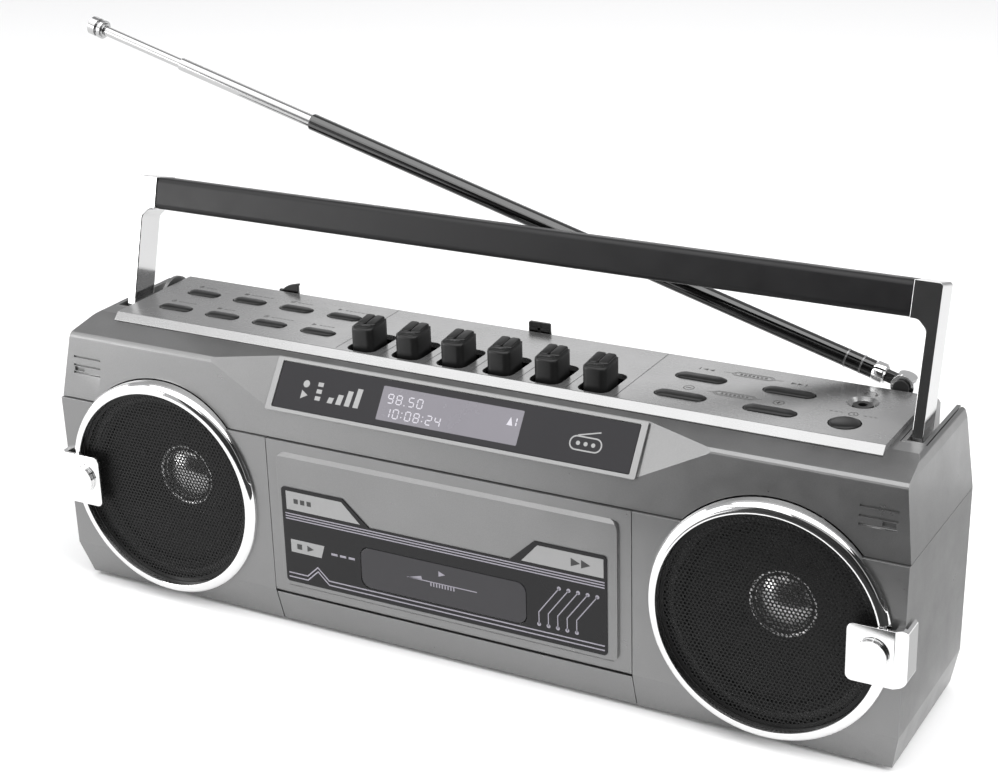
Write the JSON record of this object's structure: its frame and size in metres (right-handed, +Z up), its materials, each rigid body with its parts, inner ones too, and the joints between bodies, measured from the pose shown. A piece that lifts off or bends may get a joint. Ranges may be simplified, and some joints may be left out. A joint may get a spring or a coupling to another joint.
{
  "type": "radio cassette recorder",
  "caption": "Wide portable radio cassette recorder with round speakers, tape door, piano keys, push buttons, display, folding handle and telescopic antenna.",
  "frame": {"origin": "on the standing surface, under the middle of the cabinet footprint", "axes": "+X to the right seen from the front, +Y to the back, +Z up"},
  "size_m": [0.4135, 0.0927, 0.235],
  "materials": {
    "body_grey": "satin metallic grey",
    "plate_silver": "satin silver",
    "bezel_silver": "satin silver",
    "display_glass": "gloss dark tint",
    "lcd": "lit grey",
    "chrome": "polished",
    "grille": "satin black",
    "speaker_metal": "matte",
    "cone": "matte paper",
    "label": "dark print under gloss",
    "window": "dark tint",
    "dark_plastic": "fine texture",
    "black_plastic": "satin",
    "button_black": "satin",
    "grip_black": "satin",
    "steel": "plain",
    "brass": "turned",
    "rubber": "matte",
    "white_plastic": "moulded",
    "circuit_board": "board"
  },
  "bodies": {
    "cabinet": {"lower_cabinet": "body_grey", "centre_strip": "body_grey", "upper_cabinet": "body_grey", "rear_cover": "dark_plastic", "control_plate": "plate_silver", "display_bezel": "bezel_silver", "display_glass": "display_glass", "lcd_module": "lcd", "speaker_rings": "chrome", "ring_clips": "chrome", "speaker_grilles": "grille", "speaker_frames": "speaker_metal", "speaker_cones": "cone", "deck_chassis": "steel", "headphone_jack": "black_plastic", "handle_channels": "black_plastic", "antenna_clips": "black_plastic", "motor": "steel", "drive_belt": "rubber", "circuit_boards": "circuit_board", "power_inlet": "black_plastic", "feet": "rubber", "case_screws": "steel"},
    "door": {"cassette_door": "body_grey", "door_label": "label", "door_window": "window", "cassette_holder": "dark_plastic"},
    "handle": {"left_handle_arm": "chrome", "right_handle_arm": "chrome", "handle_grip": "grip_black"},
    "antenna_knuckle": {"antenna_turret": "chrome"},
    "antenna_outer": {"antenna_outer_tube": "chrome"},
    "antenna_middle": {"antenna_middle_tube": "chrome"},
    "antenna_inner": {"antenna_inner_tube": "chrome"},
    "pulley": {"motor_pulley": "brass"},
    "flywheel": {"flywheel": "steel"},
    "supply_spindle": {"supply_spindle": "white_plastic"},
    "takeup_spindle": {"takeup_spindle": "white_plastic"},
    "head_bridge": {"head_bridge": "steel"},
    "pinch_roller": {"pinch_roller": "rubber"},
    "battery_door": {"battery_door": "dark_plastic"},
    "record_key": {"record_key": "black_plastic"},
    "play_key": {"play_key": "black_plastic"},
    "rewind_key": {"rewind_key": "black_plastic"},
    "forward_key": {"forward_key": "black_plastic"},
    "stop_key": {"stop_key": "black_plastic"},
    "pause_key": {"pause_key": "black_plastic"},
    "power_button": {"power_button": "button_black"},
    "mode_button": {"mode_button": "button_black"},
    "menu_button": {"menu_button": "button_black"},
    "select_button": {"select_button": "button_black"},
    "scan_button": {"scan_button": "button_black"},
    "preset_button": {"preset_button": "button_black"},
    "folder_button": {"folder_button": "button_black"},
    "info_button": {"info_button": "button_black"},
    "tune_down_button": {"tune_down_button": "button_black"},
    "tune_up_button": {"tune_up_button": "button_black"},
    "volume_down_button": {"volume_down_button": "button_black"},
    "volume_up_button": {"volume_up_button": "button_black"},
    "alarm_button": {"alarm_button": "button_black"}
  },
  "joints": [
    {"name": "door_open", "type": "hinge", "parent": "cabinet", "child": "door", "pos_m": [0, -0.0355, 0.0188], "axis": [1, 0, 0], "range_deg": [0, 30]},
    {"name": "record_press", "type": "hinge", "parent": "cabinet", "child": "record_key", "pos_m": [-0.0506, 0.0285, 0.108], "axis": [1, 0, 0], "range_deg": [0, 7], "stiffness_Nm_per_rad": 0.3, "springref_deg": -8.59},
    {"name": "play_press", "type": "hinge", "parent": "cabinet", "child": "play_key", "pos_m": [-0.0296, 0.0285, 0.108], "axis": [1, 0, 0], "range_deg": [0, 7], "stiffness_Nm_per_rad": 0.3, "springref_deg": -8.59},
    {"name": "rewind_press", "type": "hinge", "parent": "cabinet", "child": "rewind_key", "pos_m": [-0.0086, 0.0285, 0.108], "axis": [1, 0, 0], "range_deg": [0, 7], "stiffness_Nm_per_rad": 0.3, "springref_deg": -8.59},
    {"name": "forward_press", "type": "hinge", "parent": "cabinet", "child": "forward_key", "pos_m": [0.0124, 0.0285, 0.108], "axis": [1, 0, 0], "range_deg": [0, 7], "stiffness_Nm_per_rad": 0.3, "springref_deg": -8.59},
    {"name": "stop_press", "type": "hinge", "parent": "cabinet", "child": "stop_key", "pos_m": [0.0334, 0.0285, 0.108], "axis": [1, 0, 0], "range_deg": [0, 7], "stiffness_Nm_per_rad": 0.3, "springref_deg": -8.59},
    {"name": "pause_press", "type": "hinge", "parent": "cabinet", "child": "pause_key", "pos_m": [0.0544, 0.0285, 0.108], "axis": [1, 0, 0], "range_deg": [0, 7], "stiffness_Nm_per_rad": 0.3, "springref_deg": -8.59},
    {"name": "power_push", "type": "slide", "parent": "cabinet", "child": "power_button", "axis": [0, 0, -1], "range_m": [0, 0.0007], "stiffness_N_per_m": 600, "springref_m": -0.001},
    {"name": "mode_push", "type": "slide", "parent": "cabinet", "child": "mode_button", "axis": [0, 0, -1], "range_m": [0, 0.0007], "stiffness_N_per_m": 600, "springref_m": -0.001},
    {"name": "menu_push", "type": "slide", "parent": "cabinet", "child": "menu_button", "axis": [0, 0, -1], "range_m": [0, 0.0007], "stiffness_N_per_m": 600, "springref_m": -0.001},
    {"name": "select_push", "type": "slide", "parent": "cabinet", "child": "select_button", "axis": [0, 0, -1], "range_m": [0, 0.0007], "stiffness_N_per_m": 600, "springref_m": -0.001},
    {"name": "scan_push", "type": "slide", "parent": "cabinet", "child": "scan_button", "axis": [0, 0, -1], "range_m": [0, 0.0007], "stiffness_N_per_m": 600, "springref_m": -0.001},
    {"name": "preset_push", "type": "slide", "parent": "cabinet", "child": "preset_button", "axis": [0, 0, -1], "range_m": [0, 0.0007], "stiffness_N_per_m": 600, "springref_m": -0.001},
    {"name": "folder_push", "type": "slide", "parent": "cabinet", "child": "folder_button", "axis": [0, 0, -1], "range_m": [0, 0.0007], "stiffness_N_per_m": 600, "springref_m": -0.001},
    {"name": "info_push", "type": "slide", "parent": "cabinet", "child": "info_button", "axis": [0, 0, -1], "range_m": [0, 0.0007], "stiffness_N_per_m": 600, "springref_m": -0.001},
    {"name": "tune_down_push", "type": "slide", "parent": "cabinet", "child": "tune_down_button", "axis": [0, 0, -1], "range_m": [0, 0.0007], "stiffness_N_per_m": 600, "springref_m": -0.001},
    {"name": "tune_up_push", "type": "slide", "parent": "cabinet", "child": "tune_up_button", "axis": [0, 0, -1], "range_m": [0, 0.0007], "stiffness_N_per_m": 600, "springref_m": -0.001},
    {"name": "volume_down_push", "type": "slide", "parent": "cabinet", "child": "volume_down_button", "axis": [0, 0, -1], "range_m": [0, 0.0007], "stiffness_N_per_m": 600, "springref_m": -0.001},
    {"name": "volume_up_push", "type": "slide", "parent": "cabinet", "child": "volume_up_button", "axis": [0, 0, -1], "range_m": [0, 0.0007], "stiffness_N_per_m": 600, "springref_m": -0.001},
    {"name": "alarm_push", "type": "slide", "parent": "cabinet", "child": "alarm_button", "axis": [0, 0, -1], "range_m": [0, 0.0007], "stiffness_N_per_m": 600, "springref_m": -0.001},
    {"name": "handle_fold", "type": "hinge", "parent": "cabinet", "child": "handle", "pos_m": [0, 0.0039, 0.105], "axis": [-1, 0, 0], "range_deg": [-15.6, 9]},
    {"name": "antenna_swivel", "type": "hinge", "parent": "cabinet", "child": "antenna_knuckle", "pos_m": [0.16, 0.0435, 0.122], "axis": [0, 1, 0], "range_deg": [-16, 164]},
    {"name": "antenna_tilt", "type": "hinge", "parent": "antenna_knuckle", "child": "antenna_outer", "pos_m": [0.16, 0.0435, 0.122], "axis": [-0.2756, 0, -0.9613], "range_deg": [0, 85]},
    {"name": "antenna_middle_slide", "type": "slide", "parent": "antenna_outer", "child": "antenna_middle", "axis": [-0.9613, 0, 0.2756], "range_m": [-0.07, 0.16]},
    {"name": "antenna_inner_slide", "type": "slide", "parent": "antenna_middle", "child": "antenna_inner", "axis": [-0.9613, 0, 0.2756], "range_m": [-0.042, 0.17]},
    {"name": "flywheel_spin", "type": "hinge", "parent": "cabinet", "child": "flywheel", "pos_m": [0.014, 0.0125, 0.078], "axis": [0, 1, 0], "continuous": true},
    {"name": "pulley_spin", "type": "hinge", "parent": "cabinet", "child": "pulley", "pos_m": [0.052, 0.0125, 0.04], "axis": [0, 1, 0], "continuous": true},
    {"name": "takeup_spin", "type": "hinge", "parent": "cabinet", "child": "takeup_spindle", "pos_m": [0.02125, -0.0155, 0.048], "axis": [0, 1, 0], "continuous": true},
    {"name": "supply_spin", "type": "hinge", "parent": "cabinet", "child": "supply_spindle", "pos_m": [-0.02125, -0.0155, 0.048], "axis": [0, 1, 0], "continuous": true},
    {"name": "head_slide", "type": "slide", "parent": "cabinet", "child": "head_bridge", "axis": [0, 0, -1], "range_m": [0, 0.0041]},
    {"name": "pinch_spin", "type": "hinge", "parent": "head_bridge", "child": "pinch_roller", "pos_m": [0.027, -0.0255, 0.0886], "axis": [0, 1, 0], "continuous": true},
    {"name": "battery_door_open", "type": "hinge", "parent": "cabinet", "child": "battery_door", "pos_m": [0, 0.03625, 0.0102], "axis": [-1, 0, 0], "range_deg": [0, 85]}
  ],
  "couplings": [
    {"joint": "head_slide", "follows": "play_press", "m_per_rad": 0.03274},
    {"joint": "pulley_spin", "follows": "flywheel_spin", "ratio": 5},
    {"joint": "takeup_spin", "follows": "flywheel_spin", "ratio": -0.2}
  ]
}
